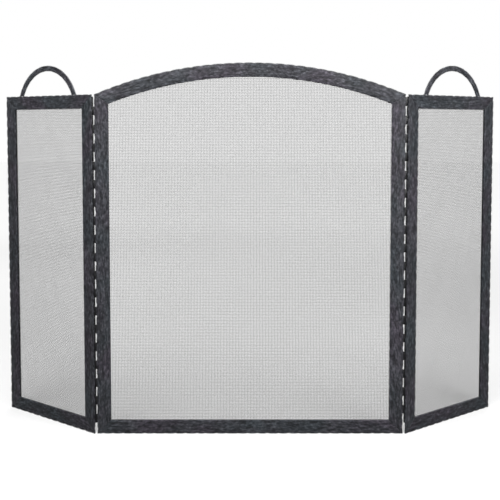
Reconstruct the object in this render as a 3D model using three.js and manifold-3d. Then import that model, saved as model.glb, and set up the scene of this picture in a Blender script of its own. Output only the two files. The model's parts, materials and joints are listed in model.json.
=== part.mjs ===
// Three-panel folding fireplace screen in flat steel bar, with woven wire in each panel.
// Millimetres, +Z up. The front faces -Y. The origin is on the floor, under the middle of the
// centre panel's bottom rail. Each side panel turns about the pin of its piano hinge.
import * as THREE from 'three';
import { mergeVertices } from 'three/addons/utils/BufferGeometryUtils.js';
import Module from 'manifold-3d';

const wasm = await Module();
wasm.setup();

// Driving dimensions.
const CENTRE_WIDTH = 693;
const SHOULDER_HEIGHT = 768; // height of the side panels and of the centre panel's shoulders
const ARCH_RISE = 70; // from the shoulders to the top of the arch
const SIDE_WIDTH = 302;
const REST_FOLD = THREE.MathUtils.degToRad(37.5); // how far each side panel is folded back

const BAR_WIDTH = 31.75;
const BAR_DEPTH = 4.8;
const BAR_CHAMFER = 0.9;
const MITRE_GAP = 0.4; // measured along the bar
const FIT_GAP = 0.3; // between pieces that lie on each other

const WIRE_DIAMETER = 0.7;
const WIRE_PITCH = 3.4;
const SHEET_MARGIN = 9; // how far the wire reaches behind the bar
const STRIP_WIDTH = 10;
const STRIP_DEPTH = 1.2;
const STRIP_SETBACK = 1; // strip edge to bar edge, round the opening

const KNUCKLES = 36;
const KNUCKLE_LENGTH = 20.5;
const KNUCKLE_GAP = 0.4;
const KNUCKLE_RADIUS = 3.1;
const BORE_RADIUS = 1.65;
const PIN_RADIUS = 1.3;
const PIN_HEAD_RADIUS = 2.3;
const PIN_HEAD_LENGTH = 1;
const HINGE_BOTTOM = 24;
const LEAF_DEPTH = 1.4;
const LEAF_REACH = 15.5; // hinge axis to the edge of either leaf
const HINGE_OFFSET = 5.8; // centre stile's edge to the hinge axis
const SIDE_OVERLAP = 4.9; // how far the side stile's edge reaches past the axis
const NOTCH_CLEARANCE = 0.6;

const SCREWS_PER_LEAF = 6;
const SCREW_END_MARGIN = 2; // knuckles between a leaf's end and its first screw
const SCREW_RADIUS = 1.5;
const SCREW_HOLE_RADIUS = 1.95;
const SCREW_HEAD_RADIUS = 3;
const SCREW_HEAD_HEIGHT = 1.1;
const SCREW_CROWN_RADIUS = 2.25; // the flat on top of the head
const SCREW_HOLE_FLOOR = 1.2; // steel left in front of a blind hole
const SCREW_FROM_AXIS = 11; // screw centre to the hinge axis

const HANDLE_HALF_SPAN = 93; // centre line of the bar, at the rail
const HANDLE_RISE = 62.65;
const HANDLE_WIDTH = 12.7;
const HANDLE_DEPTH = 3.2;
const HANDLE_CHAMFER = 0.8;

const ROUND_SIDES = 8; // facets round a small cylinder
const ARC_SEGMENTS = 12; // half the facets along an arc
const MERGE_DISTANCE = 1e-4; // vertices nearer than this are one
const CUT_OVERRUN = 1; // how far a cutting rod stands out of the face it enters

// Places that follow from them.
const REAR = BAR_DEPTH / 2; // the bars' rear face
const LEAF_FRONT = REAR + FIT_GAP;
const HINGE_Y = LEAF_FRONT + KNUCKLE_RADIUS;
const HINGE_X = CENTRE_WIDTH / 2 + HINGE_OFFSET;
const WEAVE_DEPTH = 2 * WIRE_DIAMETER; // two wires cross everywhere in the weave
const SHEET_DEPTH = (Math.PI * WIRE_DIAMETER ** 2) / (2 * WIRE_PITCH); // the weave's steel, rolled flat
const WEAVE_Y = REAR + FIT_GAP / 2 + WEAVE_DEPTH / 2;
const STRIP_FRONT = REAR + FIT_GAP + WEAVE_DEPTH;

const steel = (color, roughness) => new THREE.MeshStandardMaterial({ color, roughness, metalness: 0.6 });
const PAINT = steel(0x3a3b3e, 0.55);
const WIRE = steel(0x4a4b4d, 0.6);
const HINGE_STEEL = steel(0x26272a, 0.45);

function piece(name, geometry, material) {
  const mesh = new THREE.Mesh(geometry, material);
  mesh.name = name;
  return mesh;
}

// A solid from a closed geometry, and back, for cuts and joins.
function toSolid(geometry) {
  const bare = geometry.clone();
  bare.deleteAttribute('normal');
  bare.deleteAttribute('uv');
  const merged = mergeVertices(bare, MERGE_DISTANCE);
  return new wasm.Manifold(new wasm.Mesh({
    numProp: 3,
    vertProperties: new Float32Array(merged.attributes.position.array),
    triVerts: new Uint32Array(merged.index.array),
  }));
}

function toGeometry(solid) {
  const mesh = solid.getMesh();
  const geometry = new THREE.BufferGeometry();
  geometry.setAttribute('position', new THREE.BufferAttribute(new Float32Array(mesh.vertProperties), 3));
  geometry.setIndex(new THREE.BufferAttribute(new Uint32Array(mesh.triVerts), 1));
  geometry.computeVertexNormals();
  return geometry;
}

// An outline drawn in x and z, given thickness from y = front to the rear, with chamfered edges.
function plate(outline, front, depth, chamfer = 0) {
  const geometry = new THREE.ExtrudeGeometry(outline, {
    depth: depth - 2 * chamfer,
    curveSegments: ARC_SEGMENTS,
    bevelEnabled: chamfer > 0,
    bevelSegments: 1,
    bevelThickness: chamfer,
    bevelSize: chamfer,
    bevelOffset: -chamfer,
  });
  return geometry.rotateX(Math.PI / 2).translate(0, front + depth - chamfer, 0);
}

// A cylinder of radius r along +Y from y0 to y1, at (x, z).
function rod(x, z, radius, y0, y1) {
  return new THREE.CylinderGeometry(radius, radius, y1 - y0, ROUND_SIDES).translate(x, (y0 + y1) / 2, z);
}

// A panel's outline, read at any inset from its edge, with the names of its edges in the order -X,
// +X, bottom, top. An arched panel's top is an arc, whose inset is concentric with it; topCorner
// gives the height where it meets the upright edge.
function rectangularPanel(edges, middle, width) {
  const halfWidth = (inset) => width / 2 - inset;
  return { edges, middle, halfWidth, topCorner: (inset) => SHOULDER_HEIGHT - inset, arch: null };
}

function archedPanel(edges, middle, width) {
  const halfWidth = (inset) => width / 2 - inset;
  const radius = ((width / 2) ** 2 + ARCH_RISE ** 2) / (2 * ARCH_RISE);
  const centreHeight = SHOULDER_HEIGHT + ARCH_RISE - radius;
  const topCorner = (inset) => centreHeight + Math.sqrt((radius - inset) ** 2 - halfWidth(inset) ** 2);
  return { edges, middle, halfWidth, topCorner, arch: { radius, centreHeight } };
}

// One upright of a panel between two insets, with mitred ends. side is -1 at -X and +1 at +X.
function uprightOutline(panel, side, outer, inner) {
  const x = (inset) => panel.middle + side * panel.halfWidth(inset);
  const trim = MITRE_GAP / 2;
  return new THREE.Shape([
    new THREE.Vector2(x(outer), outer + trim),
    new THREE.Vector2(x(inner), inner + trim),
    new THREE.Vector2(x(inner), panel.topCorner(inner) - trim),
    new THREE.Vector2(x(outer), panel.topCorner(outer) - trim),
  ]);
}

function bottomOutline(panel, outer, inner) {
  const x = (side, inset) => panel.middle + side * (panel.halfWidth(inset) - MITRE_GAP / 2);
  return new THREE.Shape([
    new THREE.Vector2(x(-1, outer), outer),
    new THREE.Vector2(x(1, outer), outer),
    new THREE.Vector2(x(1, inner), inner),
    new THREE.Vector2(x(-1, inner), inner),
  ]);
}

function topOutline(panel, outer, inner) {
  if (!panel.arch) {
    const x = (side, inset) => panel.middle + side * (panel.halfWidth(inset) - MITRE_GAP / 2);
    return new THREE.Shape([
      new THREE.Vector2(x(-1, inner), panel.topCorner(inner)),
      new THREE.Vector2(x(1, inner), panel.topCorner(inner)),
      new THREE.Vector2(x(1, outer), panel.topCorner(outer)),
      new THREE.Vector2(x(-1, outer), panel.topCorner(outer)),
    ]);
  }
  const { radius, centreHeight } = panel.arch;
  const halfAngle = (inset) => Math.asin((panel.halfWidth(inset) - MITRE_GAP / 2) / (radius - inset));
  const outline = new THREE.Shape();
  const [a, b] = [halfAngle(outer), halfAngle(inner)];
  outline.absarc(panel.middle, centreHeight, radius - outer, Math.PI / 2 - a, Math.PI / 2 + a, false);
  outline.absarc(panel.middle, centreHeight, radius - inner, Math.PI / 2 + b, Math.PI / 2 - b, true);
  return outline;
}

// The whole area inside an inset, for the sheet that fills the panel.
function fieldOutline(panel, inset) {
  const [left, right] = [panel.middle - panel.halfWidth(inset), panel.middle + panel.halfWidth(inset)];
  const outline = new THREE.Shape();
  outline.moveTo(left, inset);
  outline.lineTo(right, inset);
  outline.lineTo(right, panel.topCorner(inset));
  if (panel.arch) {
    const { radius, centreHeight } = panel.arch;
    const half = Math.asin(panel.halfWidth(inset) / (radius - inset));
    const [start, end] = [Math.PI / 2 - half, Math.PI / 2 + half];
    outline.absarc(panel.middle, centreHeight, radius - inset, start, end, false);
  } else {
    outline.lineTo(left, panel.topCorner(inset));
  }
  return outline;
}

// Heights of the screws in every leaf, spread evenly over its knuckles.
function screwHeights() {
  const first = HINGE_BOTTOM + KNUCKLE_LENGTH * SCREW_END_MARGIN;
  const last = HINGE_BOTTOM + KNUCKLE_LENGTH * (KNUCKLES - SCREW_END_MARGIN);
  const spacing = (last - first) / (SCREWS_PER_LEAF - 1);
  return Array.from({ length: SCREWS_PER_LEAF }, (_, i) => first + spacing * i);
}

// A stile that carries a hinge leaf has a blind hole for each screw, drilled from behind.
function drilled(geometry, x) {
  const bottom = SCREW_HOLE_FLOOR - REAR;
  const hole = (z) => toSolid(rod(x, z, SCREW_HOLE_RADIUS, bottom, REAR + CUT_OVERRUN));
  return toGeometry(screwHeights().reduce((bar, z) => bar.subtract(hole(z)), toSolid(geometry)));
}

// The four bars of a panel. drilledSides maps -1 and +1 to the x of that stile's screws.
function frameBars(panel, drilledSides) {
  const [low, high, bottom, top] = panel.edges;
  const bar = (outline) => plate(outline, -REAR, BAR_DEPTH, BAR_CHAMFER);
  const upright = (side) => {
    const geometry = bar(uprightOutline(panel, side, 0, BAR_WIDTH));
    return side in drilledSides ? drilled(geometry, drilledSides[side]) : geometry;
  };
  return [
    piece(`${low}_stile`, upright(-1), PAINT),
    piece(`${high}_stile`, upright(1), PAINT),
    piece(`${bottom}_rail`, bar(bottomOutline(panel, 0, BAR_WIDTH)), PAINT),
    piece(`${top}_rail`, bar(topOutline(panel, 0, BAR_WIDTH)), PAINT),
  ];
}

// The flat strips that hold the wire against the backs of the bars.
function wireStrips(panel) {
  const [low, high, bottom, top] = panel.edges;
  const inner = BAR_WIDTH - STRIP_SETBACK;
  const outer = inner - STRIP_WIDTH;
  const strip = (outline) => plate(outline, STRIP_FRONT, STRIP_DEPTH);
  return [
    piece(`${low}_strip`, strip(uprightOutline(panel, -1, outer, inner)), PAINT),
    piece(`${high}_strip`, strip(uprightOutline(panel, 1, outer, inner)), PAINT),
    piece(`${bottom}_strip`, strip(bottomOutline(panel, outer, inner)), PAINT),
    piece(`${top}_strip`, strip(topOutline(panel, outer, inner)), PAINT),
  ];
}

function wireSheet(name, panel) {
  const outline = fieldOutline(panel, BAR_WIDTH - SHEET_MARGIN);
  return piece(name, plate(outline, WEAVE_Y - SHEET_DEPTH / 2, SHEET_DEPTH), WIRE);
}

// A loop of flat bar on edge, welded to a side panel's top rail.
function handle(name, middle) {
  const radius = (HANDLE_HALF_SPAN ** 2 + HANDLE_RISE ** 2) / (2 * HANDLE_RISE);
  const centreHeight = SHOULDER_HEIGHT + HANDLE_RISE - radius;
  const foot = (r) => Math.asin((SHOULDER_HEIGHT + FIT_GAP - centreHeight) / r);
  const [outer, inner] = [radius + HANDLE_WIDTH / 2, radius - HANDLE_WIDTH / 2];
  const outline = new THREE.Shape();
  outline.absarc(middle, centreHeight, outer, foot(outer), Math.PI - foot(outer), false);
  outline.absarc(middle, centreHeight, inner, Math.PI - foot(inner), foot(inner), true);
  return piece(name, plate(outline, -HANDLE_DEPTH / 2, HANDLE_DEPTH, HANDLE_CHAMFER), PAINT);
}

// A knuckle is a tube round the pin. Its end facets stand KNUCKLE_GAP from the next one.
function knuckle(index) {
  const middle = HINGE_BOTTOM + (index + 0.5) * KNUCKLE_LENGTH;
  const tube = (radius, length) => {
    const cylinder = new THREE.CylinderGeometry(radius, radius, length, ROUND_SIDES);
    return toSolid(cylinder.rotateY(Math.PI / ROUND_SIDES).rotateX(Math.PI / 2).translate(0, 0, middle));
  };
  return tube(KNUCKLE_RADIUS, KNUCKLE_LENGTH - KNUCKLE_GAP).subtract(tube(BORE_RADIUS, KNUCKLE_LENGTH));
}

// A hinge leaf about the axis x = y = 0, lying towards direction (-1 or +1). It has every second
// knuckle, from the bottom one up when firstKnuckle is 0, and a notch that reaches as far as notch
// from the axis beside each of the other leaf's knuckles.
function leaf({ name, direction, notch, firstKnuckle }) {
  const outline = new THREE.Shape();
  outline.moveTo(direction * LEAF_REACH, HINGE_BOTTOM);
  for (let i = 0; i < KNUCKLES; i += 1) {
    const owned = i % 2 === firstKnuckle;
    const inset = owned ? KNUCKLE_GAP / 2 : -KNUCKLE_GAP / 2;
    const start = HINGE_BOTTOM + i * KNUCKLE_LENGTH + (i === 0 ? 0 : inset);
    const end = HINGE_BOTTOM + (i + 1) * KNUCKLE_LENGTH - (i === KNUCKLES - 1 ? 0 : inset);
    const x = owned ? 0 : direction * notch;
    outline.lineTo(x, start);
    outline.lineTo(x, end);
  }
  outline.lineTo(direction * LEAF_REACH, HINGE_BOTTOM + KNUCKLES * KNUCKLE_LENGTH);
  let solid = toSolid(plate(outline, -KNUCKLE_RADIUS, LEAF_DEPTH));
  for (let i = firstKnuckle; i < KNUCKLES; i += 2) solid = solid.add(knuckle(i));
  const holeX = direction * SCREW_FROM_AXIS;
  for (const z of screwHeights()) {
    const hole = rod(holeX, z, SCREW_HOLE_RADIUS, -KNUCKLE_RADIUS - CUT_OVERRUN, 0);
    solid = solid.subtract(toSolid(hole));
  }
  return piece(name, toGeometry(solid), HINGE_STEEL);
}

function hingePin(name) {
  const low = HINGE_BOTTOM - FIT_GAP;
  const high = HINGE_BOTTOM + KNUCKLES * KNUCKLE_LENGTH + FIT_GAP;
  const profile = [
    [0, low - PIN_HEAD_LENGTH],
    [PIN_HEAD_RADIUS, low - PIN_HEAD_LENGTH],
    [PIN_HEAD_RADIUS, low],
    [PIN_RADIUS, low],
    [PIN_RADIUS, high],
    [PIN_HEAD_RADIUS, high],
    [PIN_HEAD_RADIUS, high + PIN_HEAD_LENGTH],
    [0, high + PIN_HEAD_LENGTH],
  ].map(([r, z]) => new THREE.Vector2(r, z));
  return piece(name, new THREE.LatheGeometry(profile, ROUND_SIDES).rotateX(Math.PI / 2), HINGE_STEEL);
}

// A pan-head screw driven forwards through a leaf and into its stile, at (x, z) from the hinge axis.
function screw(name, x, z) {
  const tip = -HINGE_Y - REAR + SCREW_HOLE_FLOOR + FIT_GAP;
  const seat = -KNUCKLE_RADIUS + LEAF_DEPTH + FIT_GAP;
  const top = seat + SCREW_HEAD_HEIGHT;
  const profile = [
    [0, tip],
    [SCREW_RADIUS, tip],
    [SCREW_RADIUS, seat],
    [SCREW_HEAD_RADIUS, seat],
    [SCREW_HEAD_RADIUS, top - SCREW_HEAD_HEIGHT / 2],
    [SCREW_CROWN_RADIUS, top],
    [0, top],
  ].map(([r, y]) => new THREE.Vector2(r, y));
  return piece(name, new THREE.LatheGeometry(profile, ROUND_SIDES).translate(x, 0, z), HINGE_STEEL);
}

// The centre panel.
function centrePanel() {
  const edges = ['centre_left', 'centre_right', 'centre_bottom', 'centre_arched'];
  const panel = archedPanel(edges, 0, CENTRE_WIDTH);
  const screwX = HINGE_X - SCREW_FROM_AXIS;
  const group = new THREE.Group();
  group.add(
    ...frameBars(panel, { '-1': -screwX, 1: screwX }),
    wireSheet('centre_wire_mesh', panel),
    ...wireStrips(panel),
  );
  return group;
}

// A side panel in its hinge's frame, before it is folded back. side is -1 on the left, +1 on the right.
function sidePanel(side, prefix) {
  const uprights = side < 0 ? ['outer', 'inner'] : ['inner', 'outer'];
  const edges = [...uprights, 'bottom', 'top'].map((edge) => `${prefix}_${edge}`);
  const panel = rectangularPanel(edges, side * (SIDE_WIDTH / 2 - SIDE_OVERLAP), SIDE_WIDTH);
  const group = new THREE.Group();
  group.add(
    ...frameBars(panel, { [-side]: side * SCREW_FROM_AXIS }),
    wireSheet(`${prefix}_wire_mesh`, panel),
    ...wireStrips(panel),
    handle(`${prefix}_handle`, panel.middle),
  );
  group.position.y = -HINGE_Y;
  return group;
}

// The screws of a leaf that lies towards direction from its hinge axis.
function leafScrews(name, direction) {
  return screwHeights().map((z, i) => screw(`${name}_${i + 1}`, direction * SCREW_FROM_AXIS, z));
}

// The hinge's fixed half. The top knuckle is on the side leaf at the left and on the centre leaf at
// the right, because one hinge is fitted the other way up.
function fixedHingeHalf(side, prefix) {
  const group = new THREE.Group();
  group.add(
    leaf({
      name: `${prefix}_hinge_centre_leaf`,
      direction: -side,
      notch: HINGE_OFFSET + FIT_GAP,
      firstKnuckle: side < 0 ? 0 : 1,
    }),
    hingePin(`${prefix}_hinge_pin`),
    ...leafScrews(`${prefix}_centre_leaf_screw`, -side),
  );
  return group;
}

function movingHingeHalf(side, prefix) {
  const group = new THREE.Group();
  group.add(
    leaf({
      name: `${prefix}_hinge_side_leaf`,
      direction: side,
      notch: KNUCKLE_RADIUS + NOTCH_CLEARANCE,
      firstKnuckle: side < 0 ? 1 : 0,
    }),
    ...leafScrews(`${prefix}_side_leaf_screw`, side),
  );
  return group;
}

const screen = new THREE.Group();
screen.add(centrePanel());
for (const [side, prefix] of [[-1, 'left'], [1, 'right']]) {
  const axis = new THREE.Group();
  axis.position.set(side * HINGE_X, HINGE_Y, 0);
  const folded = new THREE.Group();
  folded.rotation.z = side * REST_FOLD;
  folded.add(sidePanel(side, prefix), movingHingeHalf(side, prefix));
  axis.add(fixedHingeHalf(side, prefix), folded);
  screen.add(axis);
}

export default screen;
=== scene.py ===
import json
import math

import bpy
import numpy as np
from mathutils import Matrix, Vector, noise


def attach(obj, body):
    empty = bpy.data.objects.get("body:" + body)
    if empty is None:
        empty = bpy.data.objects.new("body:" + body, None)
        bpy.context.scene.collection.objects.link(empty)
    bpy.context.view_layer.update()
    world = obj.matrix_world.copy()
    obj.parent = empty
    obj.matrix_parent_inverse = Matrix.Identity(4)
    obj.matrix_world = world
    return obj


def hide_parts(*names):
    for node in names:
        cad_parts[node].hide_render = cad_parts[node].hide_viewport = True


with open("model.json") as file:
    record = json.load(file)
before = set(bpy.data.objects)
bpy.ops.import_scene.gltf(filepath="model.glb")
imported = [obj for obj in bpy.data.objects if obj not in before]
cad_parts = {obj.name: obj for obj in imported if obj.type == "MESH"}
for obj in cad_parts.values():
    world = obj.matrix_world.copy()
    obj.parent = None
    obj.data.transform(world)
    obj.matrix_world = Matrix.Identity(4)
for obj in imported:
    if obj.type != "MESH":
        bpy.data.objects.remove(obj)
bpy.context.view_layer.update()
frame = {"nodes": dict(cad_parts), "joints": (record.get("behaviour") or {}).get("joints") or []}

MM = 0.001
SEED = 11
UP = (0, 0, 1)
REARWARD = (0, 1, 0)
SHARP_ANGLE = math.radians(40)  # edges sharper than this stay sharp where the rest is shaded smooth
LENGTH_SAMPLES = 40  # points that an edge is measured at

# Flat bars
BAR_CORNER = 0.9 * MM
BAR_CORNER_STEPS = 3
BAR_STATION = 2.4 * MM  # spacing of the cross-sections along a bar
BAR_FACE_STEPS = 11
DENT_PITCH = 23.5 * MM  # hammer blows along each edge
DENT_JITTER = 2.6 * MM
DENT_HALF_LENGTH = 4.2 * MM
OUTER_DENT = 1.15 * MM
INNER_DENT = 0.55 * MM
DENT_FORCE = (0.55, 1.15)  # lightest and hardest blow, as shares of a dent's usual depth
DENT_REACH = 7 * MM  # how far across the face a blow is felt
DENT_SQUEEZE = 0.2  # share of the thickness pressed in at a blow
HAMMER_CELL = 8.5 * MM
HAMMER_DEPTH = 0.3 * MM
EDGE_FALL = (0.16, 0.26)  # share of the thickness that the outer and inner edges fall away by
FALL_REACH = 4.5 * MM
MITRE_GROOVE = 1.1 * MM
GRAIN_START = 50  # metres: each bar's grain starts at a random place within this length

# Wire cloth
WIRE_PITCH = 3.4 * MM
WIRE_RADIUS = 0.37 * MM  # of the five-sided section, about as wide as a round wire 0.7 mm across
WIRE_SIDES = 5
WIRE_SWAY = 0.3 * MM  # how far a wire leans sideways from one crossing to the next
CLOTH_BOW = 0.7 * MM
CLOTH_REACH = 0.16  # metres over which the cloth goes from still, beside a bar, to its full bow
CLOTH_WAVES = (5, 4)  # radians of the bow's waves in that distance, along x and z
CLOTH_PHASE = 1.3  # radians
CENTRE_SPLIT = 3  # pieces that the centre panel's warp, and its weft, are made in

# Strips, handles and welds
STRIP_CORNER = 0.3 * MM
STRIP_CORNER_STEPS = 1
STRIP_FACE_STEPS = 2
STRIP_STATION = 4 * BAR_STATION
TACK_PITCH = 92 * MM
TACK_SIZE = (3.2 * MM, 1.9 * MM, 2.5 * MM)
HANDLE_BAR = 12.7 * MM
HANDLE_CORNER = 0.8 * MM
HANDLE_FACE_STEPS = 4
HANDLE_STATION = 2.2 * MM
HANDLE_DENT = 0.45 * MM
HANDLE_RIPPLE = 0.06  # share of the thickness that it varies by
RIPPLE_RATE = 41  # radians of ripple for each radian of the loop
FOOT_WELD_SIZE = (9 * MM, 2.3 * MM, 2.6 * MM)
BEAD_RINGS = 5
BEAD_SIDES = 14
BEAD_ROUGHNESS = 0.09

# Piano hinges
KNUCKLES = 36
KNUCKLE_GAP = 0.4 * MM
LEAF_DEPTH = 1.4 * MM
ROLL_ANGLE = math.radians(292)  # how far a knuckle is rolled round its pin
ROLL_STEPS = 18
SIDE_NOTCH = 3.7 * MM  # hinge axis to the side leaf's notches
NOTCH_GAP = 0.3 * MM
LEAF_WELD = 0.01 * MM  # points nearer than this are joined
LEAF_BEVEL = 0.18 * MM
LEAF_BEVEL_ANGLE = math.radians(50)
PIN_SIDES = 24
PIN_RADIUS = 1.3 * MM
PIN_HEAD_LENGTH = 1.0 * MM
PIN_HEAD_FLAT = 0.55  # share of the head's radius that is flat at its end
PIN_HEAD_SHOULDER = (0.9, 0.3)  # shares of the head's radius and length where it turns
SCREW_RINGS = 4
SCREW_HEAD_HEIGHT = 1.1 * MM
SCREW_DOME = 0.55  # share of the head's height that is domed
SCREW_SHANK_RADIUS = 1.5 * MM
SCREW_RECESS = 0.75 * MM

# Paint
PAINT_BASE = (0.05, 0.051, 0.055)  # its mean colour, for a viewer that draws no patterns
PAINT_MEAN_ROUGHNESS = 0.55
PAINT_GLOSS = 0.35
PAINT_DARK = (0.017, 0.018, 0.021)
PAINT_MIDDLE = (0.034, 0.035, 0.039)
PAINT_LIGHT = (0.075, 0.077, 0.084)
STREAK_SHADES = ((0.36, 0.45), (0.5, 0.95), (0.64, 1.75))  # what a streak multiplies the tone by
PATCH_TINTS = ((0.36, (0.9, 1.0, 1.04)), (0.5, (0.98, 0.98, 1.03)), (0.64, (1.08, 0.95, 1.08)))
PAINT_ROUGHNESS = (0.42, 0.62)
PAINT_BUMP = (0.5, 0.3 * MM)  # strength and distance
SATIN_GLOSS = 0.4
# dark, light, least and most roughness, and marks in cycles a metre
HINGE_COAT = ((0.011, 0.011, 0.012), (0.026, 0.026, 0.028), (0.34, 0.5), 260)
SCREW_COAT = ((0.016, 0.016, 0.017), (0.036, 0.036, 0.038), (0.3, 0.46), 700)
WIRE_ROUGHNESS = 0.5
WIRE_TINTS = {
    "dark": (0.04, 0.04, 0.041),
    "middle": (0.045, 0.045, 0.046),
    "light": (0.051, 0.051, 0.052),
}
NOISE_RANGE = (0.3, 0.7)  # most of a noise texture's values lie in it

# Light: every sun and lamp is aimed at AIM
WHITE = (1, 1, 1, 1)
BACKDROP = 1.0
AMBIENT = 0.19
FLOOR_HALF = 14  # metres
FLOOR_TONE = 0.53
FLOOR_ROUGHNESS = 0.9
# The floor glows though it is no lamp. Its glow near the screen is kept low as painted shade round
# the screen's base, and the stronger far glow is painted light that keeps the distant floor white.
NEAR_FLOOR_GLOW_PAINTED_SHADE = 0.39
FAR_FLOOR_GLOW = 0.61
GLOW_FROM, GLOW_TO = 1.0, 4.5  # metres out, where the floor's glow begins to rise and is full
AIM = (0, 0, 0.5)
SUN_ANGLE = math.radians(35)
SUNS = (  # name, place, strength
    ("overhead", (-0.25, -0.75, 1.6), 1.3),
    ("rear", (0.6, 2.0, 1.05), 1.5),
)
AREA_LAMPS = (  # name, place, watts, size
    ("key", (1.05, -1.05, 1.35), 25, 0.8),
    ("top", (-0.5, -0.65, 1.5), 15, 0.9),
    ("back", (-0.8, 2.2, 1.6), 9, 1.4),
)

# Camera
SENSOR = 36  # millimetres, as is the lens
LENS = 60.9
SHIFT = -0.15  # share of the sensor's width
EYE = (0, -1.885, 0.7)
EYE_PITCH = -3.39  # degrees from level
LENS_SOFTNESS = 1.7  # width of the pixel filter, in pixels

rng = np.random.default_rng(SEED)
joints = {j["name"]: j for j in frame["joints"]}


# ---------------------------------------------------------------- panels and their places


def hinge_turn(joint):
    """From the screen opened out flat to the fold that it rests at."""
    pivot = Matrix.Translation(joint["pos_m"])
    angle = -math.radians(joint["range_deg"][0])
    return pivot @ Matrix.Rotation(angle, 4, Vector(joint["axis"])) @ pivot.inverted()


class Panel:
    """A panel drawn flat in the plane y = 0, as when the screen is opened out.

    to_row turns it to where it rests. low and high name the edges at -X and +X."""

    def __init__(self, name, low, high, top, joint=None):
        self.name, self.body = name, f"{name}_panel"
        self.to_row = hinge_turn(joint) if joint else Matrix.Identity(4)
        self.edges = {"low": low, "high": high, "bottom": f"{name}_bottom", "top": top}
        low_box, high_box = self.flat_box(f"{low}_stile"), self.flat_box(f"{high}_stile")
        self.middle = (low_box[0].x + high_box[1].x) / 2
        self.half_width = (high_box[1].x - low_box[0].x) / 2
        self.bar_width = low_box[1].x - low_box[0].x
        self.bar_depth = low_box[1].y - low_box[0].y
        self.shoulder = low_box[1].z
        rise = self.flat_box(f"{top}_rail")[1].z - self.shoulder
        self.radius = self.arc_centre = None
        if rise > self.bar_width / 2:
            self.radius = (self.half_width**2 + rise**2) / (2 * rise)
            self.arc_centre = self.shoulder + rise - self.radius

    def flat_box(self, node):
        """A CAD node's lowest and highest corners with the screen opened out flat."""
        back = self.to_row.inverted()
        points = np.array([back @ v.co for v in frame["nodes"][node].data.vertices])
        return Vector(points.min(0)), Vector(points.max(0))

    def top_at(self, x, inset):
        """Height of the outline at x, at an inset from the panel's edge."""
        if self.radius is None:
            return np.full_like(np.asarray(x, float), self.shoulder - inset)
        return self.arc_centre + np.sqrt((self.radius - inset) ** 2 - (x - self.middle) ** 2)

    def edge_point(self, edge, inset, share):
        """x and z on an edge at an inset. share is 0 to 1 from left to right or bottom to top."""
        half = self.half_width - inset
        if edge == "bottom":
            return self.middle + half * (2 * share - 1), inset + 0 * share
        if edge == "top" and self.radius is not None:
            angle = np.arcsin(half / (self.radius - inset)) * (2 * share - 1)
            reach = self.radius - inset
            return self.middle + reach * np.sin(angle), self.arc_centre + reach * np.cos(angle)
        if edge == "top":
            return self.middle + half * (2 * share - 1), self.shoulder - inset + 0 * share
        x = self.middle + (half if edge == "high" else -half)
        return x + 0 * share, inset + (self.top_at(x, inset) - inset) * share

    def edge_length(self, edge):
        x, z = self.edge_point(edge, 0.0, np.linspace(0, 1, LENGTH_SAMPLES))
        return float(np.hypot(np.diff(x), np.diff(z)).sum())


# ---------------------------------------------------------------- meshes


def add_piece(name, parts, panel, slot, materials, nodes, tints=None):
    """One object from parts drawn flat in a panel, in place of the CAD nodes.

    A part is (points, faces) or (points, faces, grain). grain holds each point's distances along
    and across its bar, for the streaks in the paint."""
    points, faces, grains, start = [], [], [], 0
    for part_points, part_faces, *grain in parts:
        part_points = np.asarray(part_points, float)
        points.append(part_points)
        grains.append(grain[0] if grain else part_points)
        faces.extend([[start + i for i in face] for face in part_faces])
        start += len(part_points)
    turn = np.array(panel.to_row)
    placed = np.concatenate(points) @ turn[:3, :3].T + turn[:3, 3]
    mesh = bpy.data.meshes.new(name)
    mesh.from_pydata(placed.tolist(), [], faces)
    mesh.polygons.foreach_set("use_smooth", np.ones(len(mesh.polygons), bool))
    if slot == "frame_paint":
        grain_layer = mesh.attributes.new("grain", "FLOAT_VECTOR", "POINT")
        grain_layer.data.foreach_set("vector", np.concatenate(grains).astype(np.float32).ravel())
    for material in materials:
        mesh.materials.append(material)
    if tints is not None:
        mesh.polygons.foreach_set("material_index", tints)
    mesh.update()
    piece = bpy.data.objects.new(name, mesh)
    bpy.context.scene.collection.objects.link(piece)
    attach(piece, panel.body)
    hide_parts(*nodes)
    return piece


def tube_faces(stations, around):
    """Quads of a closed tube of rings, with a face over each end."""
    ring, step = np.meshgrid(np.arange(stations - 1), np.arange(around), indexing="ij")
    a, b = ring * around + step, ring * around + (step + 1) % around
    quads = np.stack([a, b, b + around, a + around], -1).reshape(-1, 4).tolist()
    ends = [list(range(around))[::-1], list(range((stations - 1) * around, stations * around))]
    return quads + ends


def bar_section(width, depth, corner, face_steps, corner_steps):
    """Insets and depths round a flat bar's section, starting along its front face."""
    centres = [(width - corner, corner - depth / 2), (width - corner, depth / 2 - corner)]
    centres += [(corner, depth / 2 - corner), (corner, corner - depth / 2)]
    face = np.linspace(corner, width - corner, face_steps + 1)[1:-1]
    points = [(u, -depth / 2) for u in face]
    for index, (u, y) in enumerate(centres):
        for angle in np.linspace(0, math.pi / 2, corner_steps + 1) + (index - 1) * math.pi / 2:
            points.append((u + corner * math.cos(angle), y + corner * math.sin(angle)))
        if index == 1:
            points += [(u, depth / 2) for u in face[::-1]]
    return np.array(points)


def blows(length, depth):
    """Hammer blows along an edge: where they fall and how deep each is."""
    places = np.arange(DENT_PITCH / 2, length, DENT_PITCH)
    places = places + rng.uniform(-DENT_JITTER, DENT_JITTER, len(places))
    return places, depth * rng.uniform(*DENT_FORCE, len(places))


def blow_depth(along, places, depths):
    """How deep the blows press an edge in, at places along it."""
    near = np.exp(-(((along[:, None] - places[None, :]) / DENT_HALF_LENGTH) ** 2))
    return (near * depths).sum(1)


def hammered(x, z):
    """Depth of the shallow hammered cells at points of a bar's face."""
    cells = [noise.voronoi(Vector((a, 0, b)) / HAMMER_CELL)[0][0] for a, b in zip(x.flat, z.flat)]
    return HAMMER_DEPTH * (0.5 - np.array(cells).reshape(x.shape))


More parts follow.
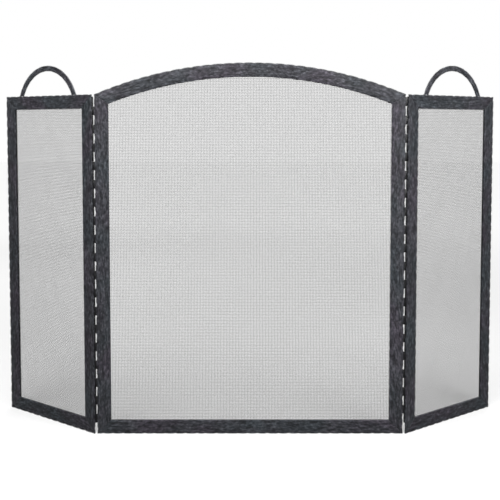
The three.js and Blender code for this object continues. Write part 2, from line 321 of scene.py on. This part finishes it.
def flat_bar(panel, edge):
    """A mitred bar with rounded corners, struck along both edges and hammered on its faces."""
    section = bar_section(
        panel.bar_width, panel.bar_depth, BAR_CORNER, BAR_FACE_STEPS, BAR_CORNER_STEPS
    )
    length = panel.edge_length(edge)
    even = np.linspace(0, 1, round(length / BAR_STATION) + 1)
    groove = MITRE_GROOVE / length
    share = np.concatenate([[0], [groove], even[1:-1], [1 - groove], [1]])
    along = share * length
    inset, depth = section[None, :, 0], section[None, :, 1]
    at_outer = np.exp(-inset / DENT_REACH)
    at_inner = np.exp(-(panel.bar_width - inset) / DENT_REACH)
    outer = blow_depth(along, *blows(length, OUTER_DENT))[:, None]
    inner = blow_depth(along, *blows(length, INNER_DENT))[:, None]
    pressed = DENT_SQUEEZE * (outer / OUTER_DENT * at_outer + inner / INNER_DENT * at_inner)
    pressed = pressed + EDGE_FALL[0] * np.exp(-inset / FALL_REACH)
    pressed = pressed + EDGE_FALL[1] * np.exp(-(panel.bar_width - inset) / FALL_REACH)
    x, z = panel.edge_point(edge, inset + outer * at_outer - inner * at_inner, share[:, None])
    on_face = np.abs(depth) > panel.bar_depth / 3
    y = depth * (1 - pressed) + np.sign(depth) * hammered(x, z) * on_face
    y = np.clip(y, -panel.bar_depth / 2, panel.bar_depth / 2)
    y[[0, -1]] *= 1 - MITRE_GROOVE / panel.bar_depth
    return sweep(x, y, z, along[:, None], inset)


def sweep(x, y, z, along, inset):
    """A closed bar from its grid of points, with its grain."""
    stations, around = x.shape
    grain = np.stack(np.broadcast_arrays(along + rng.uniform(0, GRAIN_START), inset, y), -1)
    points = np.stack([x, y, z], -1).reshape(-1, 3)
    return points, tube_faces(stations, around), grain.reshape(-1, 3)


def bead(centre, size, up):
    """A weld bead: half an ellipsoid on a flat base, rising along up.

    size is its half-length, along z where it rises to the rear and along x where it rises upwards,
    then its half-width and its height."""
    up = Vector(up)
    along = Vector((0, 0, 1)) if up.y else Vector((1, 0, 0))
    across = up.cross(along)
    points = []
    for ring in range(BEAD_RINGS):
        tilt = math.pi / 2 * ring / BEAD_RINGS
        for step in range(BEAD_SIDES):
            turn = 2 * math.pi * step / BEAD_SIDES
            rough = 1 + BEAD_ROUGHNESS * noise.noise(Vector((turn, ring, centre[2] / DENT_PITCH)))
            wide, high = math.cos(tilt) * rough, math.sin(tilt) * rough
            points.append(
                Vector(centre)
                + along * size[0] * wide * math.cos(turn)
                + across * size[1] * wide * math.sin(turn)
                + up * size[2] * high
            )
    points.append(Vector(centre) + up * size[2])
    faces = tube_faces(BEAD_RINGS, BEAD_SIDES)[:-1]
    top, last = len(points) - 1, (BEAD_RINGS - 1) * BEAD_SIDES
    faces += [[last + i, last + (i + 1) % BEAD_SIDES, top] for i in range(BEAD_SIDES)]
    return [tuple(p) for p in points], faces


def strip(panel, edge, node):
    """A thin strip that holds the wire cloth, with tack welds to the bar along its outer edge."""
    low_strip = panel.flat_box(f"{panel.edges['low']}_strip")
    outer = low_strip[0].x - (panel.middle - panel.half_width)
    width = low_strip[1].x - low_strip[0].x
    low, high = panel.flat_box(node)
    depth, middle = high.y - low.y, (low.y + high.y) / 2
    section = bar_section(width, depth, STRIP_CORNER, STRIP_FACE_STEPS, STRIP_CORNER_STEPS)
    length = panel.edge_length(edge)
    share = np.linspace(0, 1, round(length / STRIP_STATION) + 1)
    x, z = panel.edge_point(edge, outer + section[None, :, 0], share[:, None])
    y = middle + section[None, :, 1] + 0 * share[:, None]
    parts = [sweep(x, y, z, length * share[:, None], section[None, :, 0])]
    tacks = round(length / TACK_PITCH)
    for tack in range(tacks):
        tack_x, tack_z = panel.edge_point(edge, np.float64(outer), np.float64((tack + 0.5) / tacks))
        parts.append(bead((tack_x, panel.bar_depth / 2, tack_z), TACK_SIZE, REARWARD))
    return parts


def handle(panel, node):
    """A loop of flat bar on edge, welded to the top rail at both feet."""
    low, high = panel.flat_box(node)
    seat = panel.shoulder
    rise, half = high.z - low.z, (high.x - low.x) / 2
    outer = (half**2 + rise**2) / (2 * rise)
    middle, centre = (low.x + high.x) / 2, high.z - outer
    depth = high.y - low.y
    section = bar_section(HANDLE_BAR, depth, HANDLE_CORNER, HANDLE_FACE_STEPS, BAR_CORNER_STEPS)
    radius = outer - section[None, :, 0]
    foot = np.arcsin((seat - centre) / radius)
    length = outer * (math.pi - 2 * foot.max())
    share = np.linspace(0, 1, round(length / HANDLE_STATION) + 1)[:, None]
    angle = foot + (math.pi - 2 * foot) * share
    from_middle = section[None, :, 0] / HANDLE_BAR - 0.5
    for side in (-1, 1):
        dents = blow_depth(length * share[:, 0], *blows(length, HANDLE_DENT))[:, None]
        radius = radius + side * dents * np.clip(2 * side * from_middle, 0, 1)
    x, z = middle + radius * np.cos(angle), centre + radius * np.sin(angle)
    y = section[None, :, 1] * (1 + HANDLE_RIPPLE * np.sin(angle * RIPPLE_RATE)) + 0 * share
    parts = [sweep(x, y, z, outer * angle, section[None, :, 0])]
    centre_line = outer - HANDLE_BAR / 2
    reach = math.sqrt(centre_line**2 - (seat - centre) ** 2)
    for side in (-1, 1):
        parts.append(bead((middle + side * reach, 0, seat), FOOT_WELD_SIZE, UP))
    return parts


def weave(panel, node):
    """Warp and weft wires of a panel's cloth, each as the points where it crosses the others."""
    low, high = panel.flat_box(node)
    edge = low.x - (panel.middle - panel.half_width)
    depth = (low.y + high.y) / 2
    column_x = np.arange(low.x + WIRE_PITCH / 2, high.x, WIRE_PITCH)
    row_z = np.arange(low.z + WIRE_PITCH / 2, high.z, WIRE_PITCH)

    def bow(x, z):
        """Soft waves of the cloth, still at its edges."""
        x, z = np.broadcast_arrays(x, z)
        rim = np.minimum.reduce([x - low.x, high.x - x, z - low.z, panel.top_at(x, edge) - z])
        across, up = CLOTH_WAVES
        wave = np.sin(x / CLOTH_REACH * across + CLOTH_PHASE) * np.cos(z / CLOTH_REACH * up)
        return CLOTH_BOW * wave * np.clip((rim - panel.bar_width) / CLOTH_REACH, 0, 1)

    warp, weft = [], []
    for i, x in enumerate(column_x):
        count = int(np.searchsorted(row_z, panel.top_at(x, edge)))
        z = row_z[:count]
        over = np.where((i + np.arange(count)) % 2, 1, -1)
        sway = np.where(np.arange(count) % 2, WIRE_SWAY, -WIRE_SWAY)
        warp.append(np.stack([x + sway, depth + over * WIRE_RADIUS + bow(x, z), z], -1))
    for j, z in enumerate(row_z):
        keep = panel.top_at(column_x, edge) > z
        x = column_x[keep]
        over = np.where((np.nonzero(keep)[0] + j) % 2, -1, 1)
        sway = np.where(np.nonzero(keep)[0] % 2, WIRE_SWAY, -WIRE_SWAY)
        weft.append(np.stack([x, depth + over * WIRE_RADIUS + bow(x, z), z + sway], -1))
    return [w for w in warp if len(w) > 1], [w for w in weft if len(w) > 1]


def wires(lines, across):
    """Wires along lines of points that lie square to the direction across."""
    turn = 2 * np.pi * np.arange(WIRE_SIDES)[:, None] / WIRE_SIDES
    ring = WIRE_RADIUS * (np.cos(turn) * np.array(REARWARD) + np.sin(turn) * np.array(across))
    return [
        ((line[:, None, :] + ring[None]).reshape(-1, 3), tube_faces(len(line), WIRE_SIDES))
        for line in lines
    ]


def wire_pieces(panel, materials):
    """A panel's cloth, in as many pieces of warp and of weft as it is split in."""
    node = f"{panel.name}_wire_mesh"
    warp, weft = weave(panel, node)
    split = CENTRE_SPLIT if panel.radius else 1
    for kind, lines, across in (("warp", warp, (1, 0, 0)), ("weft", weft, (0, 0, 1))):
        for index, part in enumerate(np.array_split(np.arange(len(lines)), split)):
            parts = wires([lines[i] for i in part], across)
            wire_tints = rng.integers(0, len(materials), len(parts))
            tints = np.repeat(wire_tints, [len(faces) for _, faces in parts]).astype(np.int32)
            name = f"{panel.name}_{kind}_wires" + (f"_{index + 1}" if split > 1 else "")
            add_piece(name, parts, panel, "wire_paint", materials, [node], tints)


def leaf_sheet(direction, pivot, reach, notch, owned, bottom, top, knuckle_radius):
    """One hinge leaf as a sheet: points and quads, before it is given its thickness.

    It reaches from pivot towards direction. owned says whether a knuckle is on this leaf."""
    bend = knuckle_radius - LEAF_DEPTH / 2
    flat = [(reach, -bend), ((reach + notch) / 2, -bend), (notch, -bend)]
    finger = [(notch, -bend), (0, -bend)]
    for step in range(1, ROLL_STEPS + 1):
        turn = math.pi / 2 + ROLL_ANGLE * step / ROLL_STEPS
        finger.append((bend * math.cos(turn), -bend * math.sin(turn)))
    length = (top - bottom) / KNUCKLES
    cuts = [bottom]
    for index in range(1, KNUCKLES):
        grow = KNUCKLE_GAP / 2 if owned(index - 1) else -KNUCKLE_GAP / 2
        cuts.append(bottom + index * length - grow)
    cuts.append(top)
    points, faces = [], []

    def band(profile, z0, z1):
        start = len(points)
        for z in (z0, z1):
            points.extend((pivot.x + direction * u, pivot.y + v, z) for u, v in profile)
        n = len(profile)
        for i in range(start, start + n - 1):
            faces.append([i, i + 1, i + n + 1, i + n])

    for index in range(KNUCKLES):
        band(flat, cuts[index], cuts[index + 1])
        if owned(index):
            band(finger, cuts[index], cuts[index + 1])
    return points, faces


def hinge_leaf(node, panel, direction, joint, notch, first, materials):
    """A leaf with every second knuckle, from the one numbered first (0 or 1, from the bottom)."""
    low, high = panel.flat_box(node)
    pivot = Vector(joint["pos_m"])
    reach = max(abs(low.x - pivot.x), abs(high.x - pivot.x))
    radius = pivot.y - low.y

    def owned(index):
        return index % 2 == first

    part = leaf_sheet(direction, pivot, reach, notch, owned, low.z, high.z, radius)
    piece = add_piece(f"{node}_rolled", [part], panel, "hinge_steel", materials, [node])
    weld = piece.modifiers.new("join the bands", "WELD")
    weld.merge_threshold = LEAF_WELD
    solid = piece.modifiers.new("sheet thickness", "SOLIDIFY")
    solid.thickness, solid.offset = LEAF_DEPTH, 0
    edge = piece.modifiers.new("broken edges", "BEVEL")
    edge.width, edge.segments, edge.angle_limit = LEAF_BEVEL, 1, LEAF_BEVEL_ANGLE
    piece.data.set_sharp_from_angle(angle=SHARP_ANGLE)


def lathe(profile, sides, centre, axis):
    """A closed solid of revolution from (radius, height) points that start and end on the axis."""
    across = Vector((1, 0, 0))
    other = Vector(axis).cross(across)
    points = [tuple(Vector(centre) + Vector(axis) * profile[0][1])]
    for radius, height in profile[1:-1]:
        for step in range(sides):
            turn = 2 * math.pi * step / sides
            spoke = (across * math.cos(turn) + other * math.sin(turn)) * radius
            points.append(tuple(Vector(centre) + Vector(axis) * height + spoke))
    points.append(tuple(Vector(centre) + Vector(axis) * profile[-1][1]))
    rings, last = len(profile) - 2, len(points) - 1
    faces = [[i + 1 for i in face] for face in tube_faces(rings, sides)[:-2]]
    faces += [[0, 1 + (i + 1) % sides, 1 + i] for i in range(sides)]
    rim = 1 + (rings - 1) * sides
    faces += [[rim + i, rim + (i + 1) % sides, last] for i in range(sides)]
    return points, faces


def hinge_pin(node, panel, materials):
    """A pin with a formed head at each end."""
    low, high = panel.flat_box(node)
    middle = (low + high) / 2
    head, tall = (high.x - low.x) / 2, PIN_HEAD_LENGTH
    flat, (turn, turn_height) = head * PIN_HEAD_FLAT, PIN_HEAD_SHOULDER
    profile = [(0, low.z), (flat, low.z), (head * turn, low.z + tall * turn_height)]
    profile += [(head, low.z + tall), (PIN_RADIUS, low.z + tall)]
    profile += [(PIN_RADIUS, high.z - tall), (head, high.z - tall)]
    profile += [(head * turn, high.z - tall * turn_height), (flat, high.z), (0, high.z)]
    part = lathe(profile, PIN_SIDES, (middle.x, middle.y, 0), UP)
    piece = add_piece(f"{node}_turned", [part], panel, "fastener_steel", materials, [node])
    piece.data.set_sharp_from_angle(angle=SHARP_ANGLE)


def disc_grid(rings):
    """Points of a disc of radius 1 as a square grid wrapped to it, and the grid's quads."""
    count = 2 * rings + 1
    points = []
    for j in range(-rings, rings + 1):
        for i in range(-rings, rings + 1):
            reach = max(abs(i), abs(j)) / rings
            if reach == 0:
                points.append((0.0, 0.0))
            elif abs(i) >= abs(j):
                turn = math.pi / 4 * j / i + (0 if i > 0 else math.pi)
                points.append((reach * math.cos(turn), reach * math.sin(turn)))
            else:
                turn = math.pi / 2 - math.pi / 4 * i / j + (0 if j > 0 else math.pi)
                points.append((reach * math.cos(turn), reach * math.sin(turn)))
    quads = []
    for j in range(count - 1):
        for i in range(count - 1):
            start = j * count + i
            quads.append([start, start + 1, start + count + 1, start + count])
    return points, quads


def screw(node, panel, materials):
    """A pan-head screw with a cross recess, seen from behind, in the CAD screw's place."""
    low, high = panel.flat_box(node)
    x, z = (low.x + high.x) / 2, (low.z + high.z) / 2
    head, tall, shank = (high.x - low.x) / 2, SCREW_HEAD_HEIGHT, SCREW_SHANK_RADIUS
    arm = SCREW_RINGS // 2
    disc, quads = disc_grid(SCREW_RINGS)
    span = range(-SCREW_RINGS, SCREW_RINGS + 1)
    grid = [(i, j) for j in span for i in span]
    points = []
    for (u, v), (i, j) in zip(disc, grid):
        dome = tall * SCREW_DOME * (1 - (u * u + v * v))
        cross = SCREW_RECESS if (i == 0 or j == 0) and max(abs(i), abs(j)) <= arm else 0
        points.append((x + head * u, high.y - tall * SCREW_DOME + dome - cross, z + head * v))
    sides = 8 * SCREW_RINGS
    rim = sorted(
        (n for n, (i, j) in enumerate(grid) if max(abs(i), abs(j)) == SCREW_RINGS),
        key=lambda n: math.atan2(disc[n][1], disc[n][0]),
    )
    rings = [rim]
    seat = high.y - tall
    for radius, y in ((head, seat), (shank, seat), (shank, low.y + shank), (shank / 3, low.y)):
        rings.append(list(range(len(points), len(points) + sides)))
        for n in rim:
            points.append((x + radius * disc[n][0], y, z + radius * disc[n][1]))
    faces = [quad[::-1] for quad in quads]
    for outer, inner in zip(rings, rings[1:]):
        for k in range(sides):
            after = (k + 1) % sides
            faces.append([outer[k], outer[after], inner[after], inner[k]])
    faces.append(rings[-1])
    part = (points, faces)
    piece = add_piece(f"{node}_pan_head", [part], panel, "fastener_steel", materials, [node])
    piece.data.set_sharp_from_angle(angle=SHARP_ANGLE)


# ---------------------------------------------------------------- materials


def new_material(name, colour, roughness, specular):
    material = bpy.data.materials.new(name)
    material.use_nodes = True
    shader = material.node_tree.nodes["Principled BSDF"]
    shader.inputs["Base Color"].default_value = (*colour, 1)
    shader.inputs["Roughness"].default_value = roughness
    shader.inputs["Specular IOR Level"].default_value = specular
    return material, shader


def noise_node(tree, scale, detail, distortion):
    """Noise at a scale in cycles per metre."""
    place = tree.nodes.new("ShaderNodeTexCoord")
    texture = tree.nodes.new("ShaderNodeTexNoise")
    texture.inputs["Scale"].default_value = scale
    texture.inputs["Detail"].default_value = detail
    texture.inputs["Distortion"].default_value = distortion
    tree.links.new(place.outputs["Object"], texture.inputs["Vector"])
    return texture.outputs["Fac"]


def ramp(tree, value, stops):
    """Colours by value, from (position, colour) stops."""
    node = tree.nodes.new("ShaderNodeValToRGB")
    elements = node.color_ramp.elements
    while len(elements) < len(stops):
        elements.new(0.5)
    for element, (position, colour) in zip(elements, stops):
        element.position, element.color = position, (*colour, 1)
    tree.links.new(value, node.inputs["Fac"])
    return node.outputs["Color"]


def blend_colour(tree, kind, factor, first, second):
    """Two colours mixed. A Mix node has its colour sockets at inputs 6 and 7 and at output 2."""
    node = tree.nodes.new("ShaderNodeMix")
    node.data_type, node.blend_type = "RGBA", kind
    node.inputs[0].default_value = factor
    tree.links.new(first, node.inputs[6])
    tree.links.new(second, node.inputs[7])
    return node.outputs[2]


def range_node(tree, value, limits, span):
    """A value's range between two limits, mapped onto a span."""
    node = tree.nodes.new("ShaderNodeMapRange")
    node.inputs["From Min"].default_value, node.inputs["From Max"].default_value = limits
    node.inputs["To Min"].default_value, node.inputs["To Max"].default_value = span
    tree.links.new(value, node.inputs["Value"])
    return node


def bump(tree, shader, height, strength, distance):
    node = tree.nodes.new("ShaderNodeBump")
    node.inputs["Strength"].default_value = strength
    node.inputs["Distance"].default_value = distance
    tree.links.new(height, node.inputs["Height"])
    tree.links.new(node.outputs["Normal"], shader.inputs["Normal"])


def grain_node(tree, along, across, detail, distortion=0.0):
    """Noise drawn out along the bar: scales are in cycles per metre."""
    place = tree.nodes.new("ShaderNodeAttribute")
    place.attribute_name = "grain"
    stretch = tree.nodes.new("ShaderNodeVectorMath")
    stretch.operation = "MULTIPLY"
    stretch.inputs[1].default_value = (along, across, across)
    texture = tree.nodes.new("ShaderNodeTexNoise")
    texture.inputs["Scale"].default_value = 1
    texture.inputs["Detail"].default_value = detail
    texture.inputs["Distortion"].default_value = distortion
    tree.links.new(place.outputs["Vector"], stretch.inputs[0])
    tree.links.new(stretch.outputs["Vector"], texture.inputs["Vector"])
    return texture.outputs["Fac"]


def powder_coat():
    """Charcoal paint: fine streaks along the bar, and slow patches of bluer and plummier grey."""
    name = "charcoal_powder_coat"
    material, shader = new_material(name, PAINT_BASE, PAINT_MEAN_ROUGHNESS, PAINT_GLOSS)
    tree = material.node_tree
    streaks = grain_node(tree, along=60, across=330, detail=3, distortion=0.6)
    mottle = grain_node(tree, along=150, across=260, detail=4, distortion=0.5)
    patches = grain_node(tree, along=9, across=14, detail=2)
    grit = grain_node(tree, along=900, across=900, detail=2)
    tone = ramp(tree, mottle, [(0.32, PAINT_DARK), (0.5, PAINT_MIDDLE), (0.7, PAINT_LIGHT)])
    fibre = ramp(tree, streaks, [(place, (shade,) * 3) for place, shade in STREAK_SHADES])
    tint = ramp(tree, patches, PATCH_TINTS)
    streaked = blend_colour(tree, "MULTIPLY", 1.0, tone, fibre)
    tinted = blend_colour(tree, "MULTIPLY", 1.0, streaked, tint)
    tree.links.new(tinted, shader.inputs["Base Color"])
    roughness = range_node(tree, mottle, NOISE_RANGE, PAINT_ROUGHNESS)
    tree.links.new(roughness.outputs["Result"], shader.inputs["Roughness"])
    bump(tree, shader, blend_colour(tree, "MIX", 0.5, streaks, grit), *PAINT_BUMP)
    return material


def painted_steel(name, dark, light, roughness, scale):
    """Thin satin paint: an even dark coat with faint handling marks."""
    material, shader = new_material(name, light, roughness[0], SATIN_GLOSS)
    tree = material.node_tree
    marks = noise_node(tree, scale, detail=4, distortion=0.4)
    tree.links.new(ramp(tree, marks, [(0.35, dark), (0.7, light)]), shader.inputs["Base Color"])
    varied = range_node(tree, marks, NOISE_RANGE, roughness)
    tree.links.new(varied.outputs["Result"], shader.inputs["Roughness"])
    return material


def wire_paints():
    """Three close tints, so that neighbouring wires of the cloth differ a little."""
    return [
        new_material(f"wire_paint_{name}", tint, WIRE_ROUGHNESS, SATIN_GLOSS)[0]
        for name, tint in WIRE_TINTS.items()
    ]


# ---------------------------------------------------------------- stage


def studio():
    """A white floor that glows, dimmer near the screen as painted shade, and soft light: a sun and
    two lamps in front, a sun and a lamp behind.
    """
    scene = bpy.context.scene
    scene.view_settings.view_transform = "Standard"
    floor_mesh = bpy.data.meshes.new("floor")
    corners = [(FLOOR_HALF * x, FLOOR_HALF * y, 0) for x, y in ((-1, -1), (1, -1), (1, 1), (-1, 1))]
    floor_mesh.from_pydata(corners, [], [(0, 1, 2, 3)])
    white, shader = new_material("studio_floor", (FLOOR_TONE,) * 3, FLOOR_ROUGHNESS, 0.0)
    shader.inputs["Emission Color"].default_value = WHITE
    tree = white.node_tree
    place = tree.nodes.new("ShaderNodeTexCoord")
    away = tree.nodes.new("ShaderNodeVectorMath")
    away.operation = "LENGTH"
    tree.links.new(place.outputs["Object"], away.inputs[0])
    # the glow rises with distance: it is dimmer near the screen as painted shade round its base
    limits, span = (GLOW_FROM, GLOW_TO), (NEAR_FLOOR_GLOW_PAINTED_SHADE, FAR_FLOOR_GLOW)
    glow = range_node(tree, away.outputs["Value"], limits, span)
    glow.interpolation_type = "SMOOTHSTEP"
    tree.links.new(glow.outputs["Result"], shader.inputs["Emission Strength"])
    floor_mesh.materials.append(white)
    floor = bpy.data.objects.new("floor", floor_mesh)
    floor.visible_diffuse = floor.visible_glossy = False
    scene.collection.objects.link(floor)

    world = bpy.data.worlds.new("studio")
    world.use_nodes = True
    scene.world = world
    tree = world.node_tree
    seen = tree.nodes["Background"]
    ambient = tree.nodes.new("ShaderNodeBackground")
    for background, strength in ((seen, BACKDROP), (ambient, AMBIENT)):
        background.inputs["Color"].default_value = WHITE
        background.inputs["Strength"].default_value = strength
    path = tree.nodes.new("ShaderNodeLightPath")
    mix = tree.nodes.new("ShaderNodeMixShader")
    tree.links.new(path.outputs["Is Camera Ray"], mix.inputs["Fac"])
    tree.links.new(ambient.outputs["Background"], mix.inputs[1])
    tree.links.new(seen.outputs["Background"], mix.inputs[2])
    tree.links.new(mix.outputs["Shader"], tree.nodes["World Output"].inputs["Surface"])

    for name, place, strength in SUNS:
        sun = bpy.data.lights.new(name, "SUN")
        sun.energy, sun.angle = strength, SUN_ANGLE
        add_lamp(sun, place)
    for name, place, watts, size in AREA_LAMPS:
        light = bpy.data.lights.new(name, "AREA")
        light.energy, light.size = watts, size
        add_lamp(light, place)


def add_lamp(light, place):
    lamp = bpy.data.objects.new(light.name, light)
    lamp.location = place
    aim = Vector(AIM) - Vector(place)
    lamp.rotation_euler = aim.to_track_quat("-Z", "Y").to_euler()
    bpy.context.scene.collection.objects.link(lamp)


def camera():
    data = bpy.data.cameras.new("camera")
    data.sensor_width, data.lens, data.shift_y = SENSOR, LENS, SHIFT
    eye = bpy.data.objects.new("camera", data)
    eye.location = EYE
    eye.rotation_euler = (math.radians(90 + EYE_PITCH), 0, 0)
    bpy.context.scene.collection.objects.link(eye)
    bpy.context.scene.camera = eye
    bpy.context.scene.cycles.filter_width = LENS_SOFTNESS


# ---------------------------------------------------------------- the screen

camera()
studio()

paint = [powder_coat()]
hinge_paint = [painted_steel("hinge_black", *HINGE_COAT)]
screw_paint = [painted_steel("fastener_black", *SCREW_COAT)]
wire_paint = wire_paints()

centre = Panel("centre", "centre_left", "centre_right", "centre_arched")
left = Panel("left", "left_outer", "left_inner", "left_top", joints["left_hinge"])
right = Panel("right", "right_inner", "right_outer", "right_top", joints["right_hinge"])

for panel in (centre, left, right):
    for edge, name in panel.edges.items():
        bar_node = f"{name}_{'stile' if edge in ('low', 'high') else 'rail'}"
        strip_node = f"{name}_strip"
        bar_parts = [flat_bar(panel, edge)]
        add_piece(f"{bar_node}_bar", bar_parts, panel, "frame_paint", paint, [bar_node])
        strip_parts = strip(panel, edge, strip_node)
        add_piece(f"{strip_node}_tacked", strip_parts, panel, "frame_paint", paint, [strip_node])
    wire_pieces(panel, wire_paint)

# side is -1 on the left and +1 on the right. The bottom knuckle is on the centre leaf at the left
# and on the side leaf at the right.
for panel, side in ((left, -1), (right, 1)):
    handle_node = f"{panel.name}_handle"
    handle_parts = handle(panel, handle_node)
    add_piece(f"{handle_node}_loop", handle_parts, panel, "frame_paint", paint, [handle_node])
    joint = joints[f"{panel.name}_hinge"]
    centre_notch = abs(joint["pos_m"][0]) - centre.half_width + NOTCH_GAP
    centre_first = 0 if side < 0 else 1
    leaf_args = {"joint": joint, "materials": hinge_paint}
    centre_leaf, side_leaf = f"{panel.name}_hinge_centre_leaf", f"{panel.name}_hinge_side_leaf"
    hinge_leaf(centre_leaf, centre, -side, notch=centre_notch, first=centre_first, **leaf_args)
    hinge_leaf(side_leaf, panel, side, notch=SIDE_NOTCH, first=1 - centre_first, **leaf_args)
    hinge_pin(f"{panel.name}_hinge_pin", centre, screw_paint)
    for leaf_name, leaf_panel in (("centre", centre), ("side", panel)):
        prefix = f"{panel.name}_{leaf_name}_leaf_screw"
        for node in sorted(n for n in frame["nodes"] if n.startswith(prefix)):
            screw(node, leaf_panel, screw_paint)
